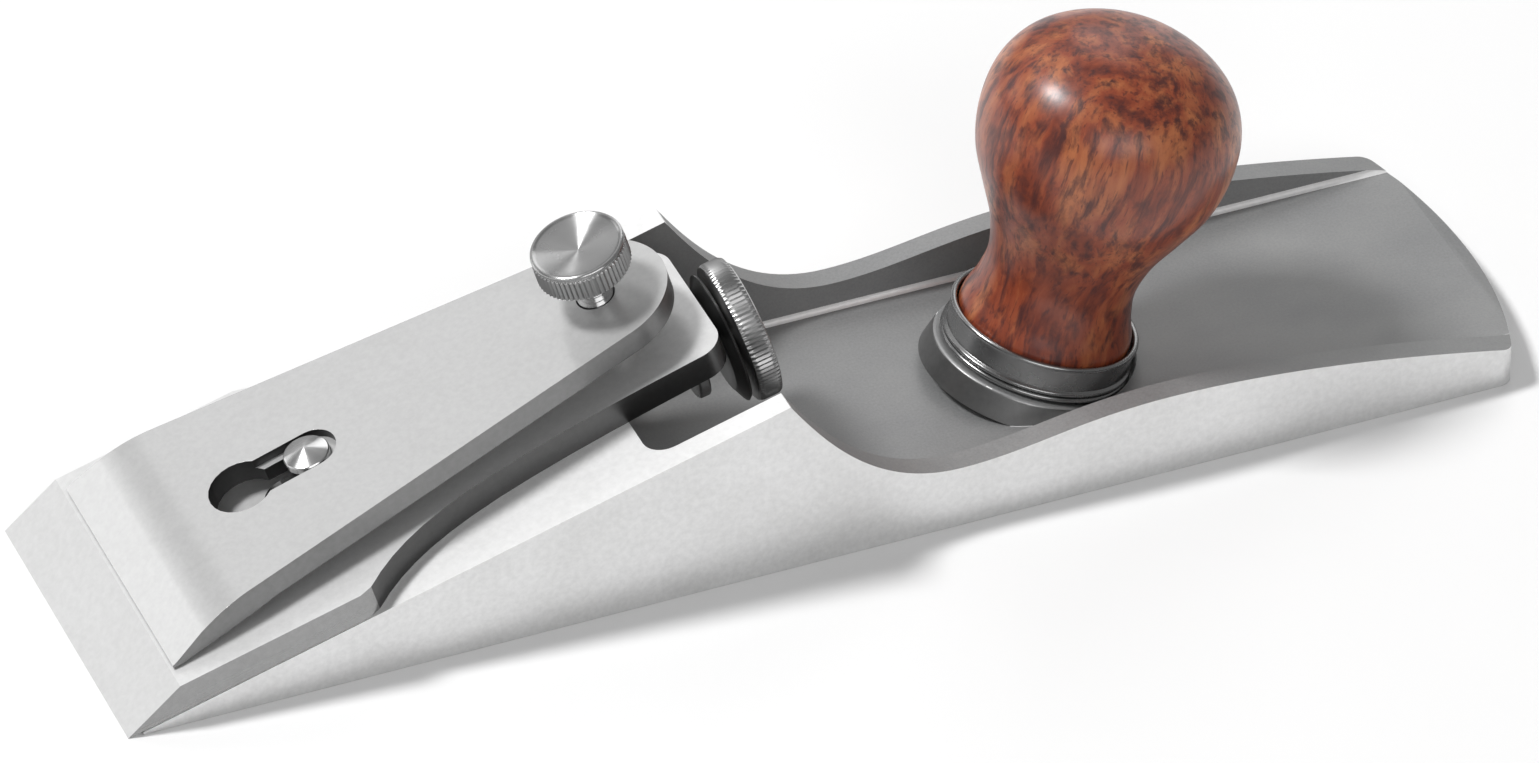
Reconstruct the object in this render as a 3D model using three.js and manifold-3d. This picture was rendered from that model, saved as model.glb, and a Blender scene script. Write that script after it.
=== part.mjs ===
// A chisel plane: a low-angle hand plane whose cutter runs out to the very front of the body.
// Millimetres, +Z up, +X towards the heel, sole on Z = 0, origin under the middle of the bounding box.

import * as THREE from 'three';
import { mergeVertices } from 'three/addons/utils/BufferGeometryUtils.js';
import Module from 'manifold-3d';

const wasm = await Module();
wasm.setup();

// ---------------------------------------------------------------- driving dimensions

const LENGTH = 244.4; // cutting edge to the middle of the heel
const WIDTH = 57; // body and cutter, 2-1/4 in
const BED_ANGLE = THREE.MathUtils.degToRad(16.2);
const GAP = 0.3; // clearance between pieces that touch

const DECK_HEIGHT = 6.3; // trough floor above the sole
const WALL = 4.1; // side walls of the trough
const BED_PEAK_X = 112.4; // from the cutting edge, where the bed's side rails end
const POCKET_FRONT_X = 90.4; // front wall of the adjuster pocket

const CUTTER = { thickness: 5, bevel: THREE.MathUtils.degToRad(25), length: 113.2, shoulder: 42.4, tail: 14.2 };
const CAP = { front: 11.3, pivot: 98.5, tailRadius: 12, rise: 0.045, topAtZero: 9.75, thickness: 4.2, noseWidth: 24.4 };
const KEYHOLE = { hole: 34.7, end: 47.4, holeRadius: 5.5, channelWidth: 8.2, slotWidth: 5.6, channelDepth: 1.6 };
const CAP_SCREW = { along: 46.3, thread: 3, headRadius: 3.8, headTop: 12.9, neck: 2.3 };
const THUMBSCREW = { headRadius: 7.8, headBottom: 20.2, headTop: 25.5, thread: 3 };
const ADJUSTER = { x: 113.3, z: 26.55, angle: THREE.MathUtils.degToRad(14), thread: 3, wheel: 11.9, wheelWidth: 4.3 };
const FLANGE = { radius: 7.5, width: 2, from: -8.4 };
const LOCK_RING = { radius: 11, from: -2.6, width: 1.7 };
const KNOB = { x: 166.4, angle: THREE.MathUtils.degToRad(17), height: 62, stud: 3, seat: 1.5 };
const FERRULE = { radius: 15.8, rim: 8.3, floor: 3.6 };
const INSERT = { radius: 4.6, from: 4.1, to: 18 };

const HEEL_RADIUS = 76;
const ROUND = 48; // segments round a large turned piece
const SMALL_ROUND = 24; // segments round a screw or a hole

// ---------------------------------------------------------------- finishes

const finish = (color, roughness, metalness) => new THREE.MeshStandardMaterial({ color, roughness, metalness });

const groundIron = finish(0xb9bab8, 0.45, 0.9);
const groundSteel = finish(0xd2d3d2, 0.35, 1);
const satinSteel = finish(0xbfc0c0, 0.3, 1);
const turnedSteel = finish(0xc9cac9, 0.25, 1);
const rosewood = finish(0x7a3a1f, 0.3, 0);
const brass = finish(0xb08d4c, 0.35, 1);

// ---------------------------------------------------------------- solids

function solid(geometry) {
  const bare = geometry.index ? geometry.clone() : geometry;
  bare.deleteAttribute('normal');
  bare.deleteAttribute('uv');
  const merged = mergeVertices(bare, 1e-4);
  return new wasm.Manifold(
    new wasm.Mesh({
      numProp: 3,
      vertProperties: new Float32Array(merged.attributes.position.array),
      triVerts: new Uint32Array(merged.index.array),
    }),
  );
}

function geometryOf(manifold) {
  const mesh = manifold.getMesh();
  const geometry = new THREE.BufferGeometry();
  geometry.setAttribute('position', new THREE.BufferAttribute(new Float32Array(mesh.vertProperties), 3));
  geometry.setIndex(new THREE.BufferAttribute(new Uint32Array(mesh.triVerts), 1));
  geometry.computeVertexNormals();
  return geometry;
}

// A plan outline (x, y) raised from z = bottom to z = top.
function raised(outline, bottom, top, curveSegments = 12) {
  const geometry = new THREE.ExtrudeGeometry(outline, { depth: top - bottom, bevelEnabled: false, curveSegments });
  return solid(geometry.translate(0, 0, bottom));
}

// A side outline (x, z) carried across the full width, centred on y = 0.
function across(outline, width, curveSegments = 12) {
  const geometry = new THREE.ExtrudeGeometry(outline, { depth: width, bevelEnabled: false, curveSegments });
  return solid(geometry.rotateX(Math.PI / 2).translate(0, width / 2, 0));
}

// A profile of [radius, height] pairs turned about Z.
function turned(profile, segments = ROUND) {
  const points = profile.map(([radius, height]) => new THREE.Vector2(radius, height));
  return solid(new THREE.LatheGeometry(points, segments).rotateX(Math.PI / 2));
}

function rod(radius, from, to, segments = SMALL_ROUND) {
  return turned([[0, from], [radius, from], [radius, to], [0, to]], segments);
}

// A rod with a small chamfer at each end.
function pin(radius, from, to, chamfer = 0.5, segments = SMALL_ROUND) {
  const profile = [
    [0, from],
    [radius - chamfer, from],
    [radius, from + chamfer],
    [radius, to - chamfer],
    [radius - chamfer, to],
    [0, to],
  ];
  return turned(profile, segments);
}

// A straight slot with round ends, from x = start to x = end, between two heights.
function slot(start, end, width, bottom, top) {
  const radius = width / 2;
  const outline = new THREE.Shape();
  outline.absarc(start, 0, radius, Math.PI / 2, 1.5 * Math.PI);
  outline.absarc(end, 0, radius, -Math.PI / 2, Math.PI / 2);
  return raised(outline, bottom, top);
}

// ---------------------------------------------------------------- frames

const plane = new THREE.Group();
plane.position.x = -LENGTH / 2;

// On the bed: X runs up the bed from the cutting edge, Z stands square to it.
const bed = new THREE.Group();
bed.rotation.y = -BED_ANGLE;

// On the adjuster: Z runs along the screw towards the heel, from the front face of its wheel.
const adjuster = new THREE.Group();
adjuster.position.set(ADJUSTER.x, 0, ADJUSTER.z);
adjuster.rotation.y = Math.PI / 2 - ADJUSTER.angle;

// On the knob: Z runs up the knob's leaning axis from the deck.
const knobAxis = new THREE.Group();
knobAxis.position.set(KNOB.x, 0, DECK_HEIGHT);
knobAxis.rotation.y = KNOB.angle;

plane.add(bed, adjuster, knobAxis);

// The same solid seen in the plane's frame instead of a group's own.
function placed(manifold, group) {
  group.updateMatrix();
  return manifold.transform(group.matrix.elements);
}

function add(group, name, material, manifold) {
  const mesh = new THREE.Mesh(geometryOf(manifold), material);
  mesh.name = name;
  group.add(mesh);
}

// ---------------------------------------------------------------- body casting

function sideOutline() {
  const bedHeight = (x) => x * Math.tan(BED_ANGLE) - GAP / Math.cos(BED_ANGLE);
  const nose = 2.6;
  const hollow = 11.5;
  const crest = 15.1;
  const outline = new THREE.Shape();
  outline.moveTo(nose, 0);
  outline.lineTo(LENGTH, 0);
  outline.lineTo(LENGTH, 5.6);
  outline.bezierCurveTo(220, 11.5, 198, crest, 178, crest);
  outline.bezierCurveTo(162, crest, 154, hollow, 142, hollow);
  outline.bezierCurveTo(128, hollow, 119.5, 22, BED_PEAK_X + 0.5, 31.6);
  outline.lineTo(BED_PEAK_X, bedHeight(BED_PEAK_X));
  outline.lineTo(nose, bedHeight(nose));
  return outline;
}

function planOutline() {
  const half = WIDTH / 2;
  const centre = LENGTH - HEEL_RADIUS;
  const corner = 2.5;
  // the corner round touches both the side and the heel arc
  const cornerX = centre + Math.sqrt((HEEL_RADIUS - corner) ** 2 - (half - corner) ** 2);
  const swing = Math.atan2(half - corner, cornerX - centre);
  const outline = new THREE.Shape();
  outline.moveTo(0, half);
  outline.lineTo(0, -half);
  outline.absarc(cornerX, -half + corner, corner, -Math.PI / 2, -swing);
  outline.absarc(centre, 0, HEEL_RADIUS, -swing, swing);
  outline.absarc(cornerX, half - corner, corner, swing, Math.PI / 2);
  return outline;
}

// The hollow between the side walls: open at the heel, square to the sole at the pocket's front.
function trough() {
  const half = WIDTH / 2 - WALL;
  const corner = 4;
  const outline = new THREE.Shape();
  outline.absarc(POCKET_FRONT_X + corner, half - corner, corner, Math.PI / 2, Math.PI);
  outline.absarc(POCKET_FRONT_X + corner, corner - half, corner, Math.PI, 1.5 * Math.PI);
  outline.lineTo(LENGTH + 20, -half);
  outline.lineTo(LENGTH + 20, half);
  return raised(outline, DECK_HEIGHT, 60);
}

function knobBoss() {
  return turned([[0, -3], [18.3, -3], [17.4, KNOB.seat - 0.6], [16.9, KNOB.seat], [0, KNOB.seat]]);
}

function bodyCasting() {
  const hollow = trough().subtract(placed(knobBoss(), knobAxis));
  const ferruleSeat = placed(rod(FERRULE.radius + 2 * GAP, KNOB.seat, 30, ROUND), knobAxis);
  const studHole = placed(rod(KNOB.stud + GAP, -4.8, KNOB.seat + 1), knobAxis);
  const capScrewHole = placed(rod(CAP_SCREW.thread + GAP, -10.5, 5).translate([CAP_SCREW.along, 0, 0]), bed);
  const adjusterHole = placed(rod(ADJUSTER.thread + GAP, -40, -20), adjuster);
  return across(sideOutline(), WIDTH, 16)
    .intersect(raised(planOutline(), -1, 60, 24))
    .subtract(hollow)
    .subtract(ferruleSeat)
    .subtract(studHole)
    .subtract(capScrewHole)
    .subtract(adjusterHole);
}

// ---------------------------------------------------------------- cutter

function cutterOutline() {
  const half = WIDTH / 2;
  const { length, shoulder, tail } = CUTTER;
  const corner = 4.5;
  const outline = new THREE.Shape();
  outline.moveTo(0, half);
  outline.lineTo(0, -half);
  outline.lineTo(shoulder, -half);
  outline.lineTo(shoulder + 2.2, -half + 0.8);
  outline.bezierCurveTo(shoulder + 12.3, -18.4, shoulder + 25.8, -15.4, length - corner, -tail);
  outline.absarc(length - corner, corner - tail, corner, -Math.PI / 2, 0);
  outline.absarc(length - corner, tail - corner, corner, 0, Math.PI / 2);
  outline.bezierCurveTo(shoulder + 25.8, 15.4, shoulder + 12.3, 18.4, shoulder + 2.2, half - 0.8);
  outline.lineTo(shoulder, half);
  return outline;
}

function cutterSide() {
  const { length, thickness, bevel } = CUTTER;
  const outline = new THREE.Shape();
  outline.moveTo(0, 0);
  outline.lineTo(length + 1, 0);
  outline.lineTo(length + 1, thickness);
  outline.lineTo(thickness / Math.tan(bevel), thickness);
  return outline;
}

// Short grooves across the underside, for the adjuster's flange to engage.
function adjusterGrooves() {
  const pitch = 5;
  const count = 4;
  const first = 109;
  const grooves = [];
  for (let i = 0; i < count; i += 1) {
    const outline = new THREE.Shape();
    const centre = first - i * pitch;
    const half = 1.45;
    outline.moveTo(centre - half, -7.5);
    outline.lineTo(centre + half, -7.5);
    outline.lineTo(centre + half, 7.5);
    outline.lineTo(centre - half, 7.5);
    grooves.push(raised(outline, -1, 2.1));
  }
  return grooves.reduce((all, groove) => all.add(groove));
}

function cutter() {
  const screwSlot = slot(CAP_SCREW.along - 5, CAP_SCREW.along + 5, 8.4, -1, CUTTER.thickness + 1);
  return across(cutterSide(), WIDTH + 2)
    .intersect(raised(cutterOutline(), -1, CUTTER.thickness + 1))
    .subtract(screwSlot)
    .subtract(adjusterGrooves());
}

// ---------------------------------------------------------------- lever cap and its two screws

const capTop = (along) => CAP.topAtZero + CAP.rise * along;

function capSide() {
  const tail = CAP.pivot + CAP.tailRadius + 1;
  const rest = CUTTER.thickness + GAP;
  const outline = new THREE.Shape();
  outline.moveTo(CAP.front, rest);
  outline.lineTo(CAP.front + 2.2, rest);
  outline.quadraticCurveTo(24, 5.9, 31, capTop(31) - CAP.thickness);
  outline.lineTo(tail, capTop(tail) - CAP.thickness);
  outline.lineTo(tail, capTop(tail));
  outline.lineTo(27, capTop(27));
  outline.quadraticCurveTo(22.5, capTop(22.5), 17.5, 8.75);
  outline.lineTo(CAP.front, rest + 0.5);
  return outline;
}

function capPlan() {
  const { front, pivot, tailRadius, noseWidth } = CAP;
  // the straight sides run into the tail's arc
  const swing = Math.PI / 2 - Math.atan((noseWidth - tailRadius) / (pivot - front));
  const outline = new THREE.Shape();
  outline.moveTo(front - 1, noseWidth);
  outline.lineTo(front - 1, -noseWidth);
  outline.lineTo(front + 1, -noseWidth);
  outline.absarc(pivot, 0, tailRadius, -swing, swing);
  outline.lineTo(front + 1, noseWidth);
  return outline;
}

// The keyhole: a hole that clears the screw's head, a slot for its neck, and a sunk channel for the head.
function keyhole() {
  const { hole, end, holeRadius, channelWidth, slotWidth, channelDepth } = KEYHOLE;
  const tilt = new THREE.Group();
  tilt.rotation.y = -Math.atan(CAP.rise);
  tilt.position.z = CAP.topAtZero;
  const through = rod(holeRadius, -10, 10).translate([hole, 0, 0]).add(slot(hole, end, slotWidth, -10, 10));
  const channel = slot(hole, end, channelWidth, -channelDepth, 10);
  return placed(through.add(channel), tilt);
}

function leverCap() {
  const thumbHole = rod(THUMBSCREW.thread + GAP, 0, 30).translate([CAP.pivot, 0, 0]);
  return across(capSide(), WIDTH)
    .intersect(raised(capPlan(), 0, 40, 20))
    .subtract(keyhole())
    .subtract(thumbHole);
}

function capScrew() {
  const { along, thread, headRadius, headTop, neck } = CAP_SCREW;
  const headBottom = capTop(along) - KEYHOLE.channelDepth + GAP + 0.05;
  const profile = [
    [0, -9.8],
    [thread - 0.6, -9.8],
    [thread, -9.2],
    [thread, 4],
    [neck, 4.7],
    [neck, headBottom],
    [headRadius, headBottom],
    [headRadius, headTop - 1.1],
    [headRadius - 0.4, headTop - 0.8],
    [0, headTop],
  ];
  return turned(profile, SMALL_ROUND).translate([along, 0, 0]);
}

function thumbscrew() {
  const { headRadius, headBottom, headTop, thread } = THUMBSCREW;
  const tip = CUTTER.thickness + GAP;
  const profile = [
    [0, tip],
    [thread - 0.6, tip],
    [thread, tip + 0.6],
    [thread, headBottom - 0.8],
    [thread + 1.2, headBottom],
    [headRadius - 0.4, headBottom],
    [headRadius, headBottom + 0.4],
    [headRadius, headTop - 0.7],
    [headRadius - 0.6, headTop - 0.1],
    [0, headTop],
  ];
  return turned(profile).translate([CAP.pivot, 0, 0]);
}

// ---------------------------------------------------------------- cutter adjuster

// Threaded at the front, with a flange that enters a groove in the cutter and a plain tail for the wheel.
function adjusterScrew() {
  const { thread, wheelWidth } = ADJUSTER;
  const tail = thread - 0.4;
  const profile = [
    [0, -34.5],
    [thread - 0.6, -34.5],
    [thread, -33.9],
    [thread, FLANGE.from],
    [FLANGE.radius, FLANGE.from],
    [FLANGE.radius, FLANGE.from + FLANGE.width],
    [thread, FLANGE.from + FLANGE.width],
    [thread, LOCK_RING.from - GAP],
    [tail, LOCK_RING.from - GAP],
    [tail, wheelWidth + 0.4],
    [tail - 0.4, wheelWidth + 0.8],
    [0, wheelWidth + 0.8],
  ];
  return turned(profile, 40);
}

function lockRing() {
  const { radius, from, width } = LOCK_RING;
  const bore = ADJUSTER.thread - 0.1;
  const profile = [
    [bore, from],
    [radius - 2.5, from],
    [radius, from + width * 0.7],
    [radius - 0.3, from + width],
    [5.5, from + width],
    [5.5, from + width + 0.3],
    [bore, from + width + 0.3],
    [bore, from],
  ];
  return turned(profile);
}

function adjusterWheel() {
  const { wheel, wheelWidth, thread } = ADJUSTER;
  const bore = thread - 0.1;
  const chamfer = 0.5;
  const profile = [
    [bore, 0],
    [wheel - chamfer, 0],
    [wheel, chamfer],
    [wheel, wheelWidth - chamfer],
    [wheel - chamfer, wheelWidth],
    [wheel - 2.4, wheelWidth],
    [wheel - 3, wheelWidth - 0.8],
    [5.6, wheelWidth - 0.8],
    [5, wheelWidth],
    [bore, wheelWidth],
    [bore, 0],
  ];
  return turned(profile);
}

// ---------------------------------------------------------------- knob

// A cup that stands on the body's boss and takes the foot of the knob.
function ferrule() {
  const { radius, rim, floor } = FERRULE;
  const foot = KNOB.seat + GAP;
  const profile = [
    [6, foot],
    [radius, foot],
    [radius + 0.25, foot + 0.5],
    [radius + 0.25, foot + 1.1],
    [radius - 0.2, foot + 1.6],
    [radius - 0.2, rim - 0.9],
    [radius, rim - 0.4],
    [radius - 0.3, rim],
    [radius - 0.8, rim],
    [radius - 0.9, floor],
    [6, floor],
    [6, foot],
  ];
  return turned(profile);
}

// Foot, waist and ball of the turned wooden knob, up to its slightly flattened crown.
function knob() {
  const foot = FERRULE.floor + GAP;
  const outline = new THREE.SplineCurve(
    [
      [14.3, foot + 0.3],
      [14.4, foot + 4.6],
      [13.1, 12.8],
      [12.5, 18],
      [14.1, 24.4],
      [17.4, 31],
      [20.2, 37],
      [21.3, 43.5],
      [20.6, 50],
      [17.4, 55.6],
      [11.4, 59.8],
      [5, 61.6],
      [0, KNOB.height],
    ].map(([radius, height]) => new THREE.Vector2(radius, height)),
  );
  const profile = outline.getPoints(24).map((point) => [Math.max(point.x, 0), point.y]);
  profile[profile.length - 1][0] = 0;
  const studBore = rod(KNOB.stud + GAP, 0, 26, SMALL_ROUND);
  const insertBore = rod(INSERT.radius + GAP, 0, INSERT.to + GAP, SMALL_ROUND);
  return turned([[0, foot], [14, foot], ...profile]).subtract(insertBore.add(studBore));
}

function knobInsert() {
  const bore = KNOB.stud + GAP;
  const { radius, from, to } = INSERT;
  const profile = [[bore, from], [radius, from], [radius, to], [bore, to], [bore, from]];
  return turned(profile, SMALL_ROUND);
}

// ---------------------------------------------------------------- assembly

add(plane, 'body_casting', groundIron, bodyCasting());
add(bed, 'cutter', groundSteel, cutter());
add(bed, 'lever_cap', satinSteel, leverCap());
add(bed, 'lever_cap_screw', turnedSteel, capScrew());
add(bed, 'lever_cap_thumbscrew', turnedSteel, thumbscrew());
add(adjuster, 'adjuster_screw', turnedSteel, adjusterScrew());
add(adjuster, 'adjuster_lock_ring', turnedSteel, lockRing());
add(adjuster, 'adjuster_wheel', turnedSteel, adjusterWheel());
add(knobAxis, 'knob_ferrule', turnedSteel, ferrule());
add(knobAxis, 'knob', rosewood, knob());
add(knobAxis, 'knob_stud', turnedSteel, pin(KNOB.stud, -4.5, 25.4));
add(knobAxis, 'knob_insert', brass, knobInsert());

export default plane;
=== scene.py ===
from math import atan2, cos, pi, radians, sin, sqrt, tan

import bmesh
import bpy
from mathutils import Matrix, Vector


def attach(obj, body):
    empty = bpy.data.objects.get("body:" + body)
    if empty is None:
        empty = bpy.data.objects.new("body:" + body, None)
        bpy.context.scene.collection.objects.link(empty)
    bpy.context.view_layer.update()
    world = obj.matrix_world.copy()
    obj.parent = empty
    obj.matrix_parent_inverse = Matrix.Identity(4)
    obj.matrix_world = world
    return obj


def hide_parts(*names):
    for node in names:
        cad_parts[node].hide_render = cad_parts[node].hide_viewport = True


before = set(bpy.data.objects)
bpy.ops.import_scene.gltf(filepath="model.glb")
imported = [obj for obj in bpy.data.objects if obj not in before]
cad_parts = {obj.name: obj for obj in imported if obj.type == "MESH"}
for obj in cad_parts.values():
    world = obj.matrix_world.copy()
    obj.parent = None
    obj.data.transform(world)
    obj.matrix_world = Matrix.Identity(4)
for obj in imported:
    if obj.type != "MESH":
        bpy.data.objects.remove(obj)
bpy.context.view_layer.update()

# Lengths are in millimetres until a mesh is made; X runs from the cutting edge towards the heel.
MM = 0.001
LENGTH = 244.4
WIDTH = 57
BED_ANGLE = radians(16.2)
GAP = 0.3  # clearance under the cutter and under the knob's ferrule

DECK = 6.3  # trough floor above the sole
WALL = 4.1
WALL_TOP = 60  # above every wall, for the shapes that cut them
BED_PEAK = 112.4  # where the bed's side rails end
POCKET_FRONT = 90.4
HEEL_RADIUS = 76

CAP_SCREW = 46.3  # along the bed
THUMBSCREW = 98.5  # along the bed
SHANK = 3  # radius of each screw's thread
SHOULDER = 43.5  # along the bed, where the cutter's straight sides end
BEVEL = 10.5  # along the bed, where the cutter's bevel ends
KEYHOLE = (28, 53)  # along the bed, a stretch that holds the cap's keyhole
KEYHOLE_HALF = 6

WHEEL = 11.9  # radius of the adjuster's wheel
WHEEL_SPOT = (113.3, 26.55)  # X and Z of its front face
WHEEL_TURN = radians(76)

KNOB_X = 166.4
KNOB_LEAN = radians(17)
SEAT = 1.5  # height of the knob's boss over the deck, on the knob's axis

PLANE = Matrix.Translation((-LENGTH / 2 * MM, 0, 0))
BED = PLANE @ Matrix.Rotation(-BED_ANGLE, 4, "Y")
ADJUSTER = (PLANE @ Matrix.Translation((WHEEL_SPOT[0] * MM, 0, WHEEL_SPOT[1] * MM))
            @ Matrix.Rotation(WHEEL_TURN, 4, "Y"))
KNOB = PLANE @ Matrix.Translation((KNOB_X * MM, 0, DECK * MM)) @ Matrix.Rotation(KNOB_LEAN, 4, "Y")

# Directions of grinding: the size of its marks along each axis.
LENGTHWISE = (60, 0.9, 0.9)
CROSSWISE = (0.9, 60, 0.9)
MILLED = (40, 0.9, 0.9)

# Each light's place, size and power, in metres and watts; all aim at the origin.
SOFTBOXES = {
    "key": ((-1.18, 0.55, 2.0), (0.45, 0.45), 46),
    "fill": ((-0.2, -1.7, 1.1), (1.6, 0.8), 11),
    "back": ((-0.24, 1.46, 1.36), (0.9, 1.6), 2.2),
    "right": ((0.85, 1.45, 1.2), (0.9, 1.2), 4.8),
    "low": ((-1.05, 1.2, 0.5), (0.7, 0.5), 1.4),
    "edge": ((1.3, 1.4, 0.25), (0.6, 0.5), 0.9),
}


# ---------------------------------------------------------------- curves and outlines

def cubic(start, first, second, end, steps):
    """Points along a cubic curve, without its start."""
    points = []
    for i in range(1, steps + 1):
        t = i / steps
        weights = ((1 - t) ** 3, 3 * t * (1 - t) ** 2, 3 * t * t * (1 - t), t ** 3)
        knots = (start, first, second, end)
        points.append(tuple(sum(w * p[k] for w, p in zip(weights, knots)) for k in (0, 1)))
    return points


def arc(centre, radius, start, end, steps):
    """Points along an arc, both ends included; angles in radians."""
    points = []
    for i in range(steps + 1):
        angle = start + (end - start) * i / steps
        points.append((centre[0] + radius * cos(angle), centre[1] + radius * sin(angle)))
    return points


def spline(knots, steps):
    """A smooth curve through every knot."""
    padded = [knots[0], *knots, knots[-1]]
    points = []
    for a, b, c, d in zip(padded, padded[1:], padded[2:], padded[3:]):
        for i in range(steps):
            t = i / steps
            point = []
            for k in (0, 1):
                leave = (c[k] - a[k]) / 2
                arrive = (d[k] - b[k]) / 2
                cube = 2 * b[k] - 2 * c[k] + leave + arrive
                square = -3 * b[k] + 3 * c[k] - 2 * leave - arrive
                point.append(cube * t ** 3 + square * t * t + leave * t + b[k])
            points.append(tuple(point))
    return [*points, knots[-1]]


# ---------------------------------------------------------------- meshes

def linked(name, bm):
    """An object in the scene with the bmesh as its mesh; the bmesh is used up."""
    mesh = bpy.data.meshes.new(name)
    bm.to_mesh(mesh)
    bm.free()
    obj = bpy.data.objects.new(name, mesh)
    bpy.context.scene.collection.objects.link(obj)
    return obj


def piece(name, bm, place, body, node):
    """Turns a bmesh in millimetres into an object that stands for a CAD node and rides on its body."""
    bm.transform(place @ Matrix.Scale(MM, 4))
    bmesh.ops.recalc_face_normals(bm, faces=bm.faces)
    obj = linked(name, bm)
    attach(obj, body)
    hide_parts(node)
    return obj


def smooth(obj, angle=32):
    """Smooth shading that keeps large flat faces flat and stays sharp over the angle."""
    obj.data.shade_smooth()
    obj.data.set_sharp_from_angle(angle=radians(angle))
    weighted = obj.modifiers.new("flat_faces", "WEIGHTED_NORMAL")
    weighted.keep_sharp = True
    weighted.weight = 90


def prism(outline, low, high, upright):
    """A closed outline raised along Z, or carried across Y when it isn't upright."""
    bm = bmesh.new()
    if upright:
        bottom = [bm.verts.new((x, y, low)) for x, y in outline]
        top = [bm.verts.new((x, y, high)) for x, y in outline]
    else:
        bottom = [bm.verts.new((x, low, z)) for x, z in outline]
        top = [bm.verts.new((x, high, z)) for x, z in outline]
    bm.faces.new(bottom)
    bm.faces.new(top)
    for i in range(len(outline)):
        j = (i + 1) % len(outline)
        bm.faces.new((bottom[i], bottom[j], top[j], top[i]))
    bmesh.ops.recalc_face_normals(bm, faces=bm.faces)
    return bm


def turned(profile, segments=160, flutes=0):
    """Profile points (radius, height, flute depth) turned about Z; flutes are straight knurling.

    U of its map runs round the axis, which gives turned metal the direction of its rings."""
    bm = bmesh.new()
    layer = bm.loops.layers.uv.new("round")
    rings = []
    for radius, height, *rest in profile:
        depth = rest[0] if rest else 0
        if radius < 1e-6:
            rings.append([bm.verts.new((0, 0, height))])
            continue
        ring = []
        for i in range(segments):
            turn = i / segments
            wave = abs((turn * flutes) % 1 - 0.5) * 2
            r = radius - depth * wave
            ring.append(bm.verts.new((r * cos(2 * pi * turn), r * sin(2 * pi * turn), height)))
        rings.append(ring)
    for row, (lower, upper) in enumerate(zip(rings, rings[1:])):
        for i in range(segments):
            corners = [(lower, i, 0), (lower, i + 1, 0), (upper, i + 1, 1), (upper, i, 1)]
            if len(lower) == 1:
                corners.pop(1)
            if len(upper) == 1:
                corners.pop()
            face = bm.faces.new([ring[k % len(ring)] for ring, k, _ in corners])
            for loop, (_, k, step) in zip(face.loops, corners):
                loop[layer].uv = (k / segments, row + step)
    bmesh.ops.recalc_face_normals(bm, faces=bm.faces)
    return bm


def thread(depth, low, high, pitch=1.0):
    """Profile of a screw thread's crests and roots, as a stack of vees on the shank."""
    points = []
    for i in range(int((high - low) / pitch)):
        points += [(SHANK, low + i * pitch), (SHANK - depth, low + (i + 0.5) * pitch)]
    return [*points, (SHANK, high)]


def combined(first, second, operation):
    """Exact boolean of two bmeshes in millimetres; both are used up."""
    parts = [linked("scratch", bm) for bm in (first, second)]
    cut = parts[0].modifiers.new("cut", "BOOLEAN")
    cut.operation = operation
    cut.solver = "EXACT"
    cut.object = parts[1]
    evaluated = parts[0].evaluated_get(bpy.context.evaluated_depsgraph_get())
    result = bmesh.new()
    result.from_mesh(evaluated.to_mesh())
    for obj in parts:
        mesh = obj.data
        bpy.data.objects.remove(obj)
        bpy.data.meshes.remove(mesh)
    return result


def tidied(bm):
    """Merges doubled points and dissolves the lines left across flat faces."""
    merge = 0.002
    flat = radians(0.2)
    bmesh.ops.remove_doubles(bm, verts=bm.verts, dist=merge)
    bmesh.ops.dissolve_limit(bm, angle_limit=flat, verts=bm.verts, edges=bm.edges)
    return bm


def from_cad(node, place):
    """A CAD node's shape in millimetres, in the frame that its piece will have."""
    bm = bmesh.new()
    bm.from_mesh(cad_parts[node].data)
    bm.transform(Matrix.Scale(1 / MM, 4) @ place.inverted())
    return tidied(bm)


def softened(bm, edges, size, steps):
    """Rounds the edges to an arc."""
    bmesh.ops.bevel(bm, geom=edges, offset=size, segments=steps, profile=0.5, affect="EDGES",
                    clamp_overlap=True)
    return bm


def rounded(bm, size, steps, keep):
    """Rounds the outward edges that are sharp and whose middle passes the test."""
    sharp = radians(28)
    edges = []
    for edge in bm.edges:
        middle = (edge.verts[0].co + edge.verts[1].co) / 2
        if edge.is_manifold and edge.calc_face_angle_signed(0) > sharp and keep(middle):
            edges.append(edge)
    return softened(bm, edges, size, steps)


# ---------------------------------------------------------------- body casting

def bed_height(x):
    """Height of the bed over the sole; the cutter lies a gap above it."""
    return x * tan(BED_ANGLE) - GAP / cos(BED_ANGLE)


def side_outline():
    """The body from the side: the bed's slope, then the walls' dip, hump and fall to the heel."""
    nose = 2.6
    peak = (BED_PEAK + 0.5, 31.6)
    dip = (142, 11.5)
    hump = (178, 15.1)
    heel = (LENGTH, 5.6)
    outline = [(nose, 0), (LENGTH, 0), heel]
    outline += cubic(heel, (220, dip[1]), (198, hump[1]), hump, 24)
    outline += cubic(hump, (162, hump[1]), (154, dip[1]), dip, 18)
    outline += cubic(dip, (128, dip[1]), (119.5, 22), peak, 24)
    outline += [(BED_PEAK, bed_height(BED_PEAK)), (nose, bed_height(nose))]
    return outline


def plan_outline():
    """The body from above: square at the front, an arc with small corners at the heel."""
    half = WIDTH / 2
    centre = LENGTH - HEEL_RADIUS
    corner = 2.5
    corner_x = centre + sqrt((HEEL_RADIUS - corner) ** 2 - (half - corner) ** 2)
    swing = atan2(half - corner, corner_x - centre)
    outline = [(0, half), (0, -half)]
    outline += arc((corner_x, corner - half), corner, -pi / 2, -swing, 6)
    outline += arc((centre, 0), HEEL_RADIUS, -swing, swing, 40)[1:]
    outline += arc((corner_x, half - corner), corner, swing, pi / 2, 6)[1:]
    return outline


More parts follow.
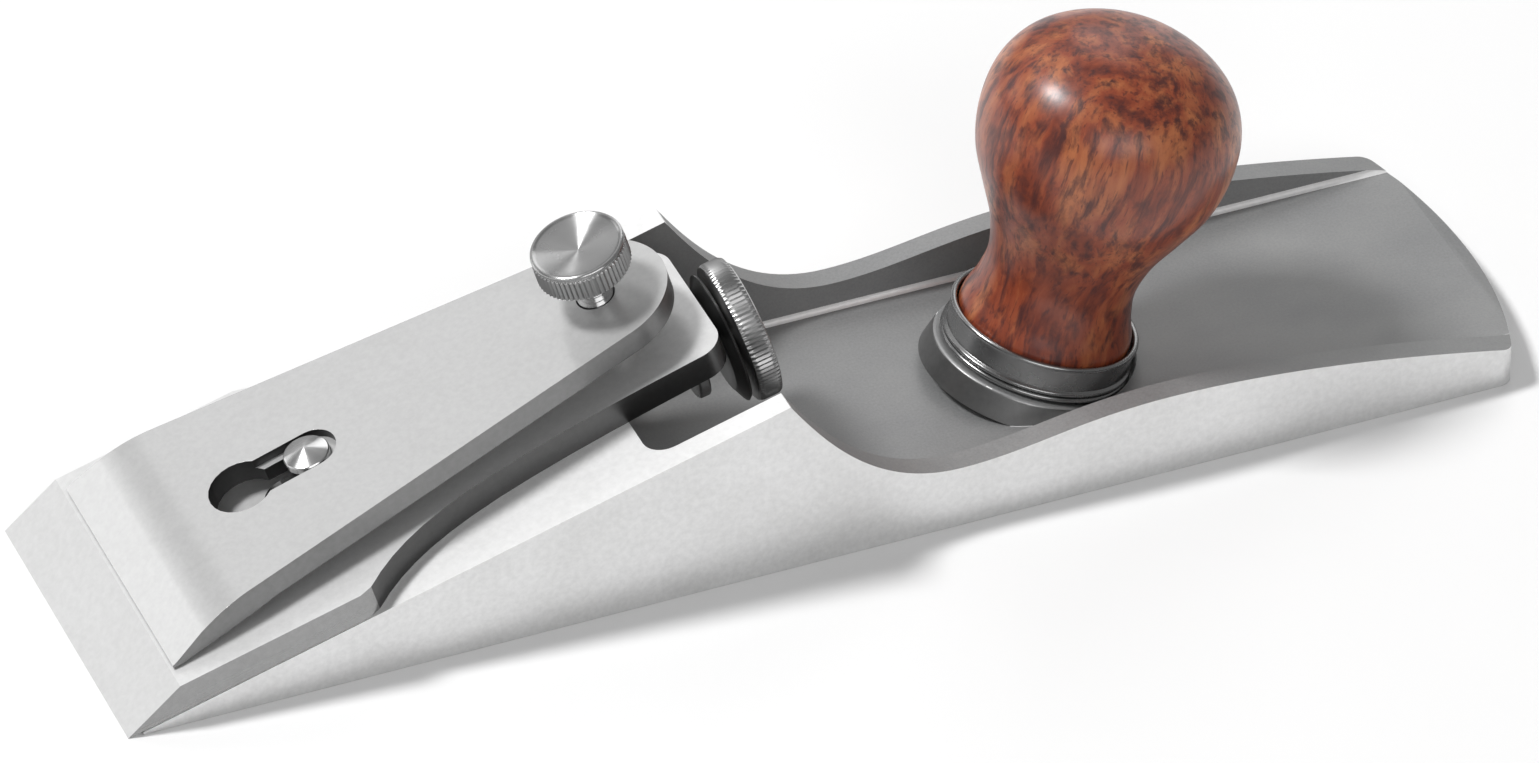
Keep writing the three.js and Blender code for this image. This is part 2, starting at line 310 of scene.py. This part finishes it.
def trough():
    """The hollow between the walls, its floor meeting them in a fillet."""
    half = WIDTH / 2 - WALL
    corner = 4
    outline = arc((POCKET_FRONT + corner, half - corner), corner, pi / 2, pi, 8)
    outline += arc((POCKET_FRONT + corner, corner - half), corner, pi, 1.5 * pi, 8)
    outline += [(LENGTH + 20, -half), (LENGTH + 20, half)]
    bm = prism(outline, DECK, WALL_TOP, upright=True)
    foot = []
    for edge in bm.edges:
        ends = [vert.co for vert in edge.verts]
        if all(end.z < DECK + 0.01 for end in ends) and any(end.x < LENGTH for end in ends):
            foot.append(edge)
    return softened(bm, foot, 1.0, 5)


def knob_boss():
    """The leaning seat of the knob, from inside the deck up to a rounded shoulder."""
    foot = 18.2
    low = -3
    corner = 0.6
    shoulder = arc((16.5, SEAT - corner), corner, 0.1, pi / 2, 5)
    return turned([(0, low), (foot, low), *shoulder, (0, SEAT)], 96)


def filleted_boss(bm):
    """Rounds the corner where the boss leaves the deck, a ring of edges about the knob."""
    nearest = 14
    furthest = 21
    foot = []
    for edge in bm.edges:
        ends = [vert.co for vert in edge.verts]
        level = all(abs(end.z - DECK) < 0.01 for end in ends)
        near = all(nearest < Vector((end.x - KNOB_X, end.y)).length < furthest for end in ends)
        if level and near and edge.is_manifold and edge.calc_face_angle_signed(0) < -0.3:
            foot.append(edge)
    return softened(bm, foot, 0.9, 4)


def body_casting():
    """Side and plan outlines together, less the trough, plus the boss, cut level with the knob's seat."""
    side = prism(side_outline(), -WIDTH / 2, WIDTH / 2, upright=False)
    blank = combined(side, prism(plan_outline(), -1, WALL_TOP, upright=True), "INTERSECT")
    hollow = combined(blank, trough(), "DIFFERENCE")
    to_plane = Matrix.Scale(1 / MM, 4) @ PLANE.inverted() @ KNOB @ Matrix.Scale(MM, 4)
    boss = knob_boss()
    boss.transform(to_plane)
    reach = 16.4
    tall = 30
    seat = turned([(0, SEAT), (reach, SEAT), (reach, tall), (0, tall)], 96)
    seat.transform(to_plane)
    bossed = combined(hollow, boss, "UNION")
    trimmed = combined(bossed, prism(plan_outline(), 0, WALL_TOP, upright=True), "INTERSECT")
    seated = combined(trimmed, seat, "DIFFERENCE")
    bm = rounded(filleted_boss(tidied(seated)), 0.35, 2, lambda middle: middle.z > 0.01 or middle.x > 4)
    obj = piece("body_shell", bm, PLANE, "body", "body_casting")
    smooth(obj)
    return obj


# ---------------------------------------------------------------- cutter, lever cap and their screws

def cutter_blade():
    bm = rounded(from_cad("cutter", BED), 0.18, 2, lambda middle: middle.x > 1)
    obj = piece("cutter_blade", bm, BED, "cutter", "cutter")
    smooth(obj)
    return obj


def lever_cap():
    bm = rounded(from_cad("lever_cap", BED), 0.6, 4, lambda middle: middle.x > 13)
    obj = piece("lever_cap_plate", bm, BED, "lever_cap", "lever_cap")
    smooth(obj)
    return obj


def along_bed(distance):
    """The frame of a screw that stands square to the bed."""
    return BED @ Matrix.Translation((distance * MM, 0, 0))


def cap_screw():
    """A shank in the bed, a neck through the cap, and a head with a shallow cone on top."""
    low = -9.8
    neck = 2.3
    under = 10.58
    head = 3.8
    top = 12.9
    profile = [(0, low), (SHANK - 0.5, low), (SHANK, low + 0.5), (SHANK, 4), (neck, 4.7), (neck, under),
               (head, under), (head, top - 1.3), (head - 0.15, top - 1.08), (head - 0.45, top - 0.95),
               (0.5, top - 0.08), (0, top)]
    obj = piece("cap_screw", turned(profile, 96), along_bed(CAP_SCREW), "body",
                "lever_cap_screw")
    smooth(obj)
    return obj


def thumbscrew():
    """A thread under a knurled head, whose top is dished."""
    head = 7.8
    low = 20.2
    high = 25.5
    depth = 0.3
    flutes = 60
    profile = [(0, 5.3), (SHANK - 0.6, 5.3), (SHANK, 5.9)]
    profile += thread(0.35, 6.2, 17.2)
    rim = arc((head - 0.5, high - 0.5), 0.45, -0.2, pi * 0.75, 8)
    profile += [(SHANK, 17.6), (SHANK, 19.2), (3.4, 19.9), (4.3, low), (head - 0.5, low),
                (head, low + 0.4, depth), (head, high - 1.3, depth), (head - 0.3, high - 1.1), *rim,
                (head - 1.1, high - 0.25), (5, high - 0.55), (2.5, high - 0.92), (0.5, high - 1.2),
                (0, high - 1.25)]
    shape = turned(profile, flutes * 6, flutes)
    obj = piece("thumbscrew", shape, along_bed(THUMBSCREW), "thumbscrew",
                "lever_cap_thumbscrew")
    smooth(obj, 40)
    return obj


# ---------------------------------------------------------------- cutter adjuster

def adjuster_screw():
    """A thread, the flange that moves the cutter, and the spindle for the ring and the wheel."""
    tip = -34.5
    flange = 7.5
    spindle = 2.6
    profile = [(0, tip), (SHANK - 0.6, tip), (SHANK, tip + 0.6)]
    profile += thread(0.4, tip + 1, -10)
    profile += [(SHANK, -8.4), (flange - 0.3, -8.4), (flange, -8.1), (flange, -6.7), (flange - 0.3, -6.4),
                (SHANK, -6.4), (SHANK, -2.9), (spindle, -2.9), (spindle, 4.7), (spindle - 0.4, 5.1),
                (0, 5.1)]
    obj = piece("adjuster_spindle", turned(profile, 80), ADJUSTER, "adjuster",
                "adjuster_screw")
    smooth(obj)
    return obj


def lock_ring():
    """A thin disc with a coned front edge, and a collar that spaces it from the wheel."""
    bore = 2.9
    rim = 11
    collar = 5.5
    profile = [(bore, -2.6), (8.4, -2.6), (8.7, -2.5), (rim - 0.2, -1.5), (rim, -1.3), (rim - 0.3, -0.9),
               (collar, -0.9), (collar, -0.6), (bore, -0.6), (bore, -2.6)]
    obj = piece("lock_ring", turned(profile), ADJUSTER, "adjuster", "adjuster_lock_ring")
    smooth(obj)
    return obj


def adjuster_wheel():
    """A knurled wheel, its back recessed between the rim and the hub."""
    bore = 2.9
    hub = 5
    width = 4.3
    floor_level = width - 0.8
    depth = 0.22
    flutes = 90
    profile = [(bore, 0), (WHEEL - 0.9, 0), (WHEEL - 0.3, 0.25), (WHEEL - 0.05, 0.7, depth),
               (WHEEL, 1.1, depth), (WHEEL, width - 1.1, depth), (WHEEL - 0.05, width - 0.7, depth),
               (WHEEL - 0.3, width - 0.25), (WHEEL - 0.9, width), (WHEEL - 2.2, width),
               (WHEEL - 2.6, width - 0.3), (WHEEL - 3, floor_level), (hub + 0.7, floor_level),
               (hub + 0.3, width - 0.4), (hub, width), (bore, width), (bore, 0)]
    shape = turned(profile, flutes * 6, flutes)
    obj = piece("wheel", shape, ADJUSTER, "adjuster", "adjuster_wheel")
    smooth(obj, 40)
    return obj


# ---------------------------------------------------------------- knob

def ferrule():
    """A cup with two beads at its foot and a rounded lip."""
    outer = 15.8
    bore = 6
    foot = SEAT + GAP
    bottom = 3.6  # inside the cup
    rim = 8.3
    lower = arc((outer - 0.2, foot + 0.45), 0.45, -pi / 2, pi / 2, 6)
    upper = arc((outer - 0.25, foot + 1.45), 0.4, -pi / 2, pi / 2, 6)
    lip = arc((outer - 0.5, rim - 0.5), 0.5, -0.3, pi, 10)
    profile = [(bore, foot), (outer - 0.6, foot), *lower, (outer - 0.45, foot + 0.97), *upper,
               (outer - 0.4, foot + 2), (outer - 0.2, rim - 0.9), *lip, (outer - 1, rim - 0.8),
               (outer - 0.9, bottom), (bore, bottom), (bore, foot)]
    obj = piece("ferrule_cup", turned(profile, 192), KNOB, "body", "knob_ferrule")
    smooth(obj)
    return obj


def knob():
    """A waisted bulb, drawn a hair inside its CAD solid."""
    foot = 3.9
    inside = 0.999
    lowered = 0.04
    knots = [(14.3, foot + 0.3), (14.4, foot + 4.6), (13.1, 12.8), (12.5, 18), (14.1, 24.4), (17.4, 31),
             (20.2, 37), (21.3, 43.5), (20.6, 50), (17.4, 55.6), (11.4, 59.8), (5, 61.6), (0, 62)]
    curve = [(max(radius, 0) * inside, height - lowered) for radius, height in spline(knots, 6)]
    curve[-1] = (0, curve[-1][1])
    obj = piece("knob_wood", turned([(0, foot), (13.9, foot), *curve], 144), KNOB, "body", "knob")
    smooth(obj, 50)
    return obj


# ---------------------------------------------------------------- materials

class Finish:
    """A principled material with helpers for its nodes; sizes are in millimetres, along the axes of place."""

    def __init__(self, name, place, colour, roughness, metallic=0.0, **constants):
        self.origin = place.to_translation()
        self.turn = place.to_euler()
        self.material = bpy.data.materials.new(name)
        self.material.use_nodes = True
        self.tree = self.material.node_tree
        self.shader = self.tree.nodes["Principled BSDF"]
        self.set("Base Color", (*colour, 1))
        self.set("Roughness", roughness)
        self.set("Metallic", metallic)
        for socket, value in constants.items():
            self.set(socket.replace("_", " "), value)

    def set(self, socket, value):
        """A constant or a node's output for one of the shader's sockets."""
        if isinstance(value, bpy.types.NodeSocket):
            self.tree.links.new(value, self.shader.inputs[socket])
        else:
            self.shader.inputs[socket].default_value = value

    def node(self, kind, inputs, **settings):
        """A new node, with a constant or another node's output for each input."""
        made = self.tree.nodes.new(kind)
        for name, value in settings.items():
            setattr(made, name, value)
        for name, value in inputs.items():
            if isinstance(value, bpy.types.NodeSocket):
                self.tree.links.new(value, made.inputs[name])
            else:
                made.inputs[name].default_value = value
        return made

    def spot(self, size, warp=None):
        """Coordinates along the piece's own axes, in units of size (x, y, z)."""
        vector = self.node("ShaderNodeTexCoord", {}).outputs["Object"]
        if warp is not None:
            vector = self.node("ShaderNodeVectorMath", {0: vector, 1: warp}, operation="ADD").outputs[0]
        scale = [s * MM for s in size]
        inputs = {"Vector": vector, "Location": self.origin, "Rotation": self.turn, "Scale": scale}
        return self.node("ShaderNodeMapping", inputs, vector_type="TEXTURE").outputs[0]

    def noise(self, size, detail=4.0, rough=0.55, seed=0.0, warp=None):
        """Noise from 0 to 1 whose cells have the size."""
        vector = self.spot(size, warp)
        inputs = {"Vector": vector, "W": seed, "Scale": 1.0, "Detail": detail, "Roughness": rough}
        return self.node("ShaderNodeTexNoise", inputs, noise_dimensions="4D").outputs["Fac"]

    def ramp(self, factor, *stops):
        """Colour or grey by factor: stops are (position, colour or grey)."""
        made = self.node("ShaderNodeValToRGB", {"Fac": factor})
        for i, (position, colour) in enumerate(stops):
            element = made.color_ramp.elements[i] if i < 2 else made.color_ramp.elements.new(position)
            element.position = position
            element.color = (*colour, 1) if isinstance(colour, tuple) else (colour, colour, colour, 1)
        return made.outputs["Color"]

    def mix(self, factor, first, second):
        """The first colour where factor is 0, the second where it is 1."""
        colour_inputs = (6, 7)
        colour_output = 2
        made = self.node("ShaderNodeMix", {0: factor}, data_type="RGBA")
        for index, value in zip(colour_inputs, (first, second)):
            if isinstance(value, bpy.types.NodeSocket):
                self.tree.links.new(value, made.inputs[index])
            else:
                made.inputs[index].default_value = (*value, 1)
        return made.outputs[colour_output]

    def relief(self, height, depth, strength):
        """Bump from a height of 0 to 1, depth millimetres deep."""
        inputs = {"Height": height, "Distance": depth * MM, "Strength": strength}
        return self.node("ShaderNodeBump", inputs).outputs["Normal"]


def ground_metal(name, place, light, roughness, lay, metallic=1.0, contrast=0.06):
    """Ground metal: cloudy and finely mottled, its gloss varying in streaks along the lay."""
    finish = Finish(name, place, (light,) * 3, roughness, metallic)
    clouds = finish.noise((14, 14, 14), detail=3)
    speckle = finish.noise((1.1, 1.1, 1.1), detail=4, rough=0.6, seed=3.1)
    streaks = finish.noise(lay, detail=2, rough=0.5, seed=7.7)
    low = light * (1 - contrast)
    high = light * (1 + contrast)
    tone = finish.ramp(clouds, (0.3, (low, low, low * 0.995)), (0.7, (high, high, high)))
    tone = finish.mix(0.3, tone, finish.ramp(speckle, (0.35, low * 0.88), (0.65, high * 1.08)))
    finish.set("Base Color", tone)
    finish.set("Roughness", finish.ramp(streaks, (0.3, roughness - 0.012), (0.7, roughness + 0.018)))
    finish.set("Normal", finish.relief(speckle, 0.004, 0.25))
    return finish.material


def cast_metal():
    """Dull blasted iron inside the trough."""
    finish = Finish("dull_cast_iron", PLANE, (0.3, 0.3, 0.3), 0.6, 0.75)
    clouds = finish.noise((22, 16, 16), detail=4, rough=0.6)
    grit = finish.noise((0.45, 0.45, 0.45), detail=5, rough=0.7, seed=5.0)
    tone = finish.ramp(clouds, (0.3, (0.29, 0.295, 0.3)), (0.7, (0.38, 0.382, 0.38)))
    finish.set("Base Color", finish.mix(0.4, tone, finish.ramp(grit, (0.3, 0.22), (0.7, 0.46))))
    finish.set("Roughness", finish.ramp(grit, (0.3, 0.52), (0.7, 0.68)))
    finish.set("Normal", finish.relief(grit, 0.05, 0.5))
    return finish.material


def turned_metal(name, place, light, roughness, anisotropy=0.75):
    """Lathe-turned metal: rings about the piece's Z axis."""
    grain = {"Anisotropic": anisotropy, "Anisotropic_Rotation": 0.25}
    finish = Finish(name, place, (light,) * 3, roughness, 1.0, **grain)
    tangent = finish.node("ShaderNodeTangent", {}, direction_type="UV_MAP", uv_map="round")
    finish.set("Tangent", tangent.outputs["Tangent"])
    wave = {"Vector": finish.spot((1, 1, 1)), "Scale": 1.1, "Distortion": 0.6, "Detail": 2.0,
            "Detail Scale": 1.5}
    rings = finish.node("ShaderNodeTexWave", wave, wave_type="RINGS", rings_direction="Z").outputs["Fac"]
    clouds = finish.noise((3, 3, 3))
    finish.set("Base Color", finish.ramp(clouds, (0.3, light * 0.94), (0.7, light * 1.04)))
    finish.set("Roughness", finish.ramp(clouds, (0.3, roughness - 0.02), (0.7, roughness + 0.03)))
    finish.set("Normal", finish.relief(rings, 0.004, 0.4))
    return finish.material


def swirl(finish, size, reach):
    """Offsets that bend a pattern by up to about half the reach, over distances of the size."""
    inputs = {"Vector": finish.spot(size), "Scale": 1.0, "Detail": 3.0}
    colour = finish.node("ShaderNodeTexNoise", inputs).outputs["Color"]
    inputs = {0: colour, 1: (0.5, 0.5, 0.5)}
    centred = finish.node("ShaderNodeVectorMath", inputs, operation="SUBTRACT").outputs[0]
    inputs = {0: centred, "Scale": reach * MM}
    return finish.node("ShaderNodeVectorMath", inputs, operation="SCALE").outputs[0]


def rosewood():
    """Polished figured wood, its grain running up the knob's axis."""
    polish = {"Coat_Weight": 0.25, "Coat_Roughness": 0.24, "IOR": 1.5}
    finish = Finish("rosewood", KNOB, (0.3, 0.1, 0.04), 0.36, **polish)
    warp = swirl(finish, (13, 13, 22), 6)
    bands = finish.noise((4.5, 4.5, 20), rough=0.6, seed=1.3, warp=warp)
    streaks = finish.noise((1.7, 1.7, 13), rough=0.6, seed=4.2, warp=warp)
    pores = finish.noise((0.6, 0.6, 5), detail=3, seed=8.8, warp=warp)
    blotches = finish.noise((2.6, 2.6, 4.2), rough=0.65, seed=2.4, warp=warp)
    brown = (0.13, 0.022, 0.011)
    red = (0.26, 0.054, 0.022)
    orange = (0.41, 0.13, 0.048)
    dark = (0.05, 0.011, 0.011)
    base = finish.ramp(bands, (0.32, brown), (0.48, red), (0.64, orange))
    figured = finish.mix(finish.ramp(streaks, (0.5, 0.0), (0.64, 0.85)), base, dark)
    figured = finish.mix(finish.ramp(blotches, (0.52, 0.0), (0.66, 0.65)), figured, dark)
    figured = finish.mix(finish.ramp(pores, (0.58, 0.0), (0.66, 0.6)), figured, dark)
    finish.set("Base Color", figured)
    finish.set("Roughness", finish.ramp(streaks, (0.3, 0.3), (0.7, 0.44)))
    finish.set("Normal", finish.relief(pores, 0.03, 0.3))
    return finish.material


def threaded_metal():
    """Plain machined steel for the screws that are mostly hidden."""
    finish = Finish("machined_screw_steel", ADJUSTER, (0.42, 0.42, 0.42), 0.38, 1.0)
    clouds = finish.noise((2, 2, 2))
    finish.set("Base Color", finish.ramp(clouds, (0.3, 0.34), (0.7, 0.5)))
    finish.set("Roughness", finish.ramp(clouds, (0.3, 0.3), (0.7, 0.46)))
    return finish.material


def turned_brass():
    finish = Finish("turned_brass", KNOB, (0.6, 0.42, 0.17), 0.34, 1.0)
    clouds = finish.noise((2, 2, 2))
    finish.set("Base Color", finish.ramp(clouds, (0.3, (0.5, 0.34, 0.13)), (0.7, (0.66, 0.47, 0.2))))
    finish.set("Roughness", finish.ramp(clouds, (0.3, 0.28), (0.7, 0.42)))
    return finish.material


def dress(obj, *materials):
    """Gives an object its materials, in the order of its faces' indices."""
    obj.data.materials.clear()
    for material in materials:
        obj.data.materials.append(material)


def seen_from(place, face):
    """A face's centre in millimetres and its normal, along the axes of place."""
    inverse = place.inverted()
    return inverse @ face.center / MM, inverse.to_3x3() @ face.normal


def dress_knurled(obj, place, plain, knurled_painted_shade, radius):
    """A turned finish, darker on the knurled rim outside the radius; the darker tone is painted shade in the
    knurl's grooves.
    """
    dress(obj, plain, knurled_painted_shade)
    for face in obj.data.polygons:
        centre, normal = seen_from(place, face)
        face.material_index = 1 if centre.xy.length > radius and abs(normal.z) < 0.4 else 0


def body_finish(face):
    """Which of the body's materials a face has: 0 outside, 1 trough, 2 bed and the trough's fillets, whose
    brightness there is a painted highlight, 3 boss, darkened as painted shade.
    """
    boss_reach = 18.6
    fillet_height = 0.95
    slack = 0.02
    centre, normal = seen_from(PLANE, face)
    from_knob, leaning = seen_from(KNOB, face)
    within = abs(centre.y) < WIDTH / 2 - WALL + slack
    inside = within and centre.z > DECK - 0.05 and centre.x > POCKET_FRONT - slack
    # the boss's wall: darkened, painted shade at the knob's foot
    if inside and from_knob.xy.length < boss_reach and leaning.z < 0.6:
        return 3
    # the trough's fillets get the bright bed finish: a painted highlight line
    painted_highlight_fillet = inside and centre.z < DECK + fillet_height and 0.15 < normal.z < 0.97
    sloped = abs(normal.x + sin(BED_ANGLE)) < slack and normal.z > 0
    if painted_highlight_fillet or sloped:
        return 2
    upward = normal.z > 0.2 and abs(normal.y) < 0.2
    wall_top = upward and centre.x > BED_PEAK + 0.3 and centre.z > DECK / 2
    return 1 if inside or wall_top else 0


def dress_body(obj):
    """Ground outside, brighter on the bed, dull inside the trough, smooth round the boss; the trough's
    fillets take the bed's bright finish as a painted highlight, and the boss's dark tone is painted shade.
    """
    outside = ground_metal("ground_iron", PLANE, 0.76, 0.42, LENGTHWISE, metallic=0.85)
    # also dresses the trough's fillets, as a painted highlight
    bed = ground_metal("ground_bed_and_fillet_highlight", PLANE, 0.9, 0.4, CROSSWISE, metallic=0.3, contrast=0.03)
    # the boss's dark tone is painted shade
    boss = ground_metal("machined_boss_painted_shade", PLANE, 0.28, 0.36, (3, 3, 0.4))
    dress(obj, outside, cast_metal(), bed, boss)
    for face in obj.data.polygons:
        face.material_index = body_finish(face)


def dress_cutter(obj):
    """Fine ground; its straight sides polished and darker, its waisted sides darker still; both darker tones
    are painted shade.
    """
    fine = ground_metal("ground_steel", BED, 0.78, 0.3, CROSSWISE, metallic=0.45, contrast=0.03)
    # straight sides: the glossier polish is real, the darker tone is painted shade
    side = ground_metal("cutter_side_polish_and_painted_shade", BED, 0.32, 0.26, MILLED)
    # waisted sides behind the shoulder: a near-black tone that is painted shade
    painted_shade_waist = ground_metal("cutter_waist_painted_shade", BED, 0.12, 0.34, MILLED)
    bevel = ground_metal("cutter_bevel", BED, 0.6, 0.3, CROSSWISE, metallic=0.65, contrast=0.02)
    dress(obj, fine, side, painted_shade_waist, bevel)
    for face in obj.data.polygons:
        centre, normal = seen_from(BED, face)
        if abs(normal.z) < 0.3:
            face.material_index = 2 if centre.x > SHOULDER else 1
        else:
            face.material_index = 3 if normal.z > 0 and centre.x < BEVEL else 0


def dress_cap(obj):
    """Satin on top; rougher milled sides whose darker tone is painted shade; nearly black keyhole walls,
    painted shade inside the hole.
    """
    satin = ground_metal("satin_steel", BED, 0.6, 0.24, (60, 1.1, 40), metallic=0.45, contrast=0.02)
    # sides: the rougher milled finish is real, the darker tone is painted shade
    milled_and_shaded = ground_metal("milled_side_painted_shade", BED, 0.25, 0.36, MILLED)
    # keyhole walls: a near-black tone that is painted shade inside the hole
    bore = ground_metal("keyhole_painted_shade", BED, 0.06, 0.4, (0.5, 0.5, 3))
    dress(obj, satin, milled_and_shaded, bore)
    for face in obj.data.polygons:
        centre, _ = seen_from(BED, face)
        keyhole = KEYHOLE[0] < centre.x < KEYHOLE[1] and abs(centre.y) < KEYHOLE_HALF
        face.material_index = 0 if face.normal.z > 0.35 else 2 if keyhole else 1


# ---------------------------------------------------------------- camera, light and floor

def camera():
    """Looks down along the plane from the near left."""
    azimuth = radians(-22.49)
    elevation = radians(37.51)
    target = Vector((-0.00167, 0, 0.01495))
    away = Vector((sin(azimuth) * cos(elevation), -cos(azimuth) * cos(elevation), sin(elevation)))
    distance = 2.085
    data = bpy.data.cameras.new("camera")
    data.lens = 304.1
    data.sensor_width = 36
    obj = bpy.data.objects.new("camera", data)
    obj.location = target + away * distance
    obj.rotation_euler = (-away).to_track_quat("-Z", "Y").to_euler()
    bpy.context.scene.collection.objects.link(obj)
    bpy.context.scene.camera = obj


def softbox(name, place, size, power):
    """A rectangular area light aimed at the origin."""
    data = bpy.data.lights.new(name, "AREA")
    data.shape = "RECTANGLE"
    data.size, data.size_y = size
    data.energy = power
    obj = bpy.data.objects.new(name, data)
    obj.location = place
    obj.rotation_euler = (-Vector(place)).to_track_quat("-Z", "Y").to_euler()
    bpy.context.scene.collection.objects.link(obj)


def studio():
    """A dim white surround and the softboxes."""
    world = bpy.data.worlds.new("studio")
    world.use_nodes = True
    background = world.node_tree.nodes["Background"]
    background.inputs["Color"].default_value = (1, 1, 1, 1)
    background.inputs["Strength"].default_value = 0.24
    bpy.context.scene.world = world
    for name, (place, size, power) in SOFTBOXES.items():
        softbox(name, place, size, power)
    bpy.context.scene.view_settings.view_transform = "Standard"


def floor():
    """A pale sheet just below the sole."""
    below = Matrix.Translation((0, 0, -0.05 * MM))
    bm = bmesh.new()
    bmesh.ops.create_grid(bm, x_segments=12, y_segments=12, size=3, matrix=below)
    obj = linked("floor", bm)
    finish = Finish("pale_floor", PLANE, (0.9, 0.9, 0.9), 0.7)
    obj.data.materials.append(finish.material)


# ---------------------------------------------------------------- assembly

def build():
    """Makes and finishes every piece; two hidden CAD nodes stay and only get a material."""
    at_thumbscrew = along_bed(THUMBSCREW)
    cap_screw_steel = turned_metal("cap_screw_steel", along_bed(CAP_SCREW), 0.72, 0.24)
    thumbscrew_steel = turned_metal("thumbscrew_steel", at_thumbscrew, 0.5, 0.25, 0.9)
    # the thumbscrew's knurl: its darker tone is painted shade
    thumbscrew_knurl_painted_shade = turned_metal("thumbscrew_knurl_painted_shade", at_thumbscrew, 0.26, 0.3, 0.3)
    wheel_steel = turned_metal("wheel_steel", ADJUSTER, 0.5, 0.3)
    # the wheel's knurl: its darker tone is painted shade
    wheel_knurl_painted_shade = turned_metal("wheel_knurl_painted_shade", ADJUSTER, 0.34, 0.34, 0.3)
    ferrule_steel = turned_metal("ferrule_steel", KNOB, 0.32, 0.26, 0.4)
    screw_steel = threaded_metal()
    dress_body(body_casting())
    dress_cutter(cutter_blade())
    dress_cap(lever_cap())
    dress(cap_screw(), cap_screw_steel)
    dress_knurled(thumbscrew(), at_thumbscrew, thumbscrew_steel, thumbscrew_knurl_painted_shade, 7.1)
    dress(adjuster_screw(), screw_steel)
    # the lock ring's near-black tone is painted shade under the cutter's tail
    dress(lock_ring(), turned_metal("ring_steel_painted_shade", ADJUSTER, 0.16, 0.35, 0.4))
    dress_knurled(adjuster_wheel(), ADJUSTER, wheel_steel, wheel_knurl_painted_shade, WHEEL - 0.7)
    dress(ferrule(), ferrule_steel)
    dress(knob(), rosewood())
    dress(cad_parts["knob_stud"], screw_steel)
    dress(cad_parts["knob_insert"], turned_brass())


camera()
studio()
floor()
build()
